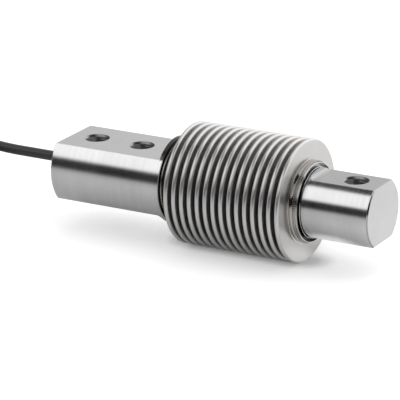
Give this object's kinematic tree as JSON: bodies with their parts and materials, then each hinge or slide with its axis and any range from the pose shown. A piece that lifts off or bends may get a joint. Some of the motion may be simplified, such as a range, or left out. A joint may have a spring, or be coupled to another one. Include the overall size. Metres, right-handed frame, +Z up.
{
  "type": "strain gauge load cell",
  "caption": "Bending beam load cell: a milled steel bar with bolt holes at both ends, its gauged middle sealed in a welded metal bellows, and a cable out of the fixed end.",
  "frame": {"origin": "below the middle of the bar's length and the bellows' axis, on the surface that the bellows' crests rest on", "axes": "+X along the bar from the fixed end, where the cable leaves, to the load end; +Z up, along the bolt holes; the cable hangs on as cord"},
  "size_m": [0.2491, 0.0576, 0.042],
  "materials": {
    "beam_steel": "turned and milled stainless steel, satin",
    "bellows_steel": "formed stainless steel sheet, satin",
    "weld_steel": "welded stainless steel with a faint heat tint",
    "gland_steel": "turned stainless steel",
    "gauge_foil": "polyimide foil gauge with a lacquer coat",
    "flat_lead": "flat flexible lead in polyimide film",
    "board_laminate": "green lacquered circuit board",
    "resistor_black": "coated chip resistor",
    "solder": "solder",
    "ferrule_metal": "tinned copper ferrule",
    "seal_rubber": "black rubber",
    "potting_resin": "cast resin",
    "sheath": "smooth dark grey cable sheath, satin",
    "tie_plastic": "black plastic tie",
    "core_red": "core insulation",
    "core_black": "core insulation",
    "core_green": "core insulation",
    "core_white": "core insulation"
  },
  "bodies": {
    "root": {"bellows": "bellows_steel", "black_core": "core_black", "black_core_end": "core_black", "cable_coil": "sheath", "cable_entry": "sheath", "cable_lead": "sheath", "cable_tail": "sheath", "coil_tie": "tie_plastic", "compensation_board": "board_laminate", "core_ferrules": "ferrule_metal", "fixed_weld_bead": "weld_steel", "gland_screw": "gland_steel", "green_core": "core_green", "green_core_end": "core_green", "load_weld_bead": "weld_steel", "lower_gauge_fixed_end": "gauge_foil", "lower_gauge_load_end": "gauge_foil", "lower_lead_fixed_end": "flat_lead", "lower_lead_load_end": "flat_lead", "measuring_beam": "beam_steel", "potting_plug": "potting_resin", "red_core": "core_red", "red_core_end": "core_red", "seal_grommet": "seal_rubber", "solder_terminals": "solder", "span_trim_resistor": "resistor_black", "thrust_washer": "gland_steel", "upper_gauge_fixed_end": "gauge_foil", "upper_gauge_load_end": "gauge_foil", "upper_lead_fixed_end": "flat_lead", "upper_lead_load_end": "flat_lead", "white_core": "core_white", "white_core_end": "core_white", "zero_trim_resistor": "resistor_black"}
  },
  "joints": []
}
